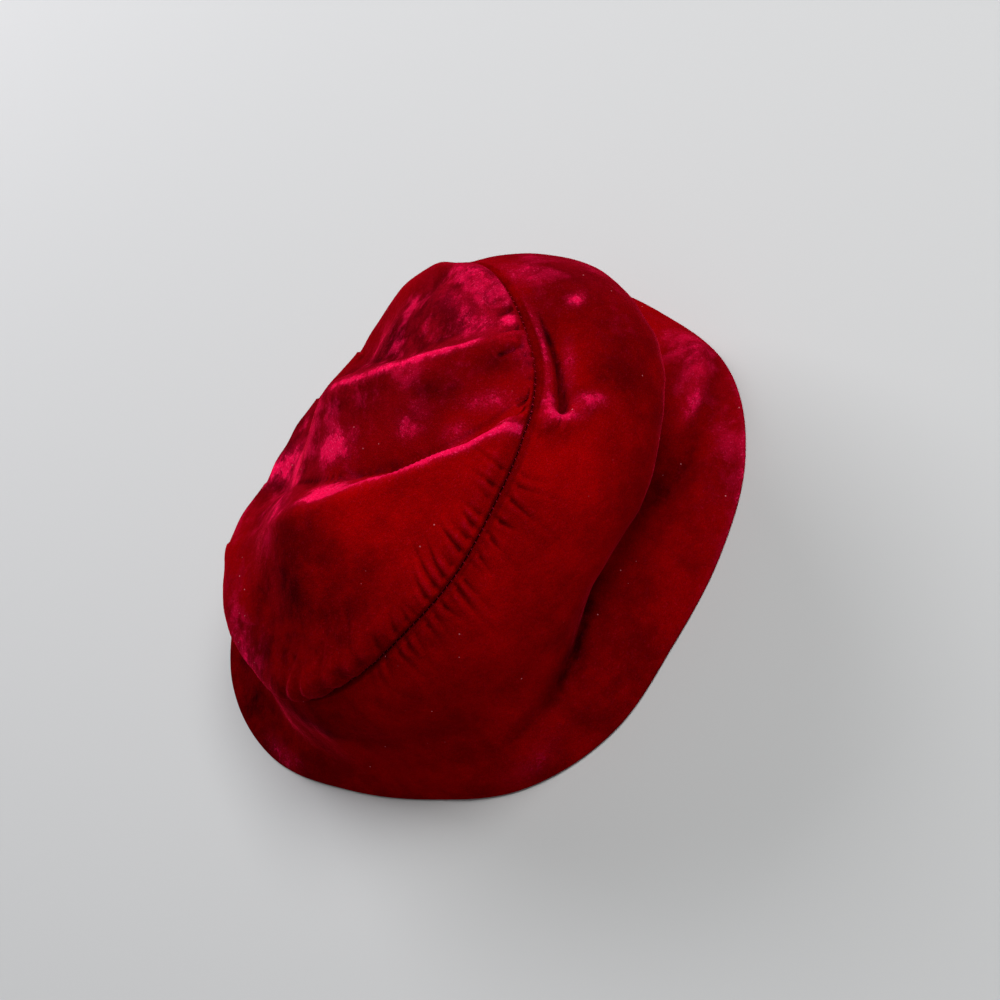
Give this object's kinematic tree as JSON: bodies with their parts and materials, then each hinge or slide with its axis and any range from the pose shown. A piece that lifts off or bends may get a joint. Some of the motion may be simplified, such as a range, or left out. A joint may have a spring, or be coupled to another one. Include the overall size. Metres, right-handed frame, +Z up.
{
  "type": "cloche hat",
  "caption": "Soft red velvet cloche hat with a puffed, slouching crown gathered into a seam and a flared brim; stands on its hem and is open underneath for a head.",
  "frame": {"origin": "middle of the brim, at the height of the flat hem", "axes": "+Z up out of the crown, -Y towards the gathered front, +X towards the fuller side of the crown"},
  "size_m": [0.2482, 0.2288, 0.1154],
  "materials": {
    "velvet": "soft crushed pile, matt facing the eye and brighter at grazing angles"
  },
  "bodies": {
    "root": {"crown_top": "velvet", "side_brim": "velvet"}
  },
  "joints": []
}
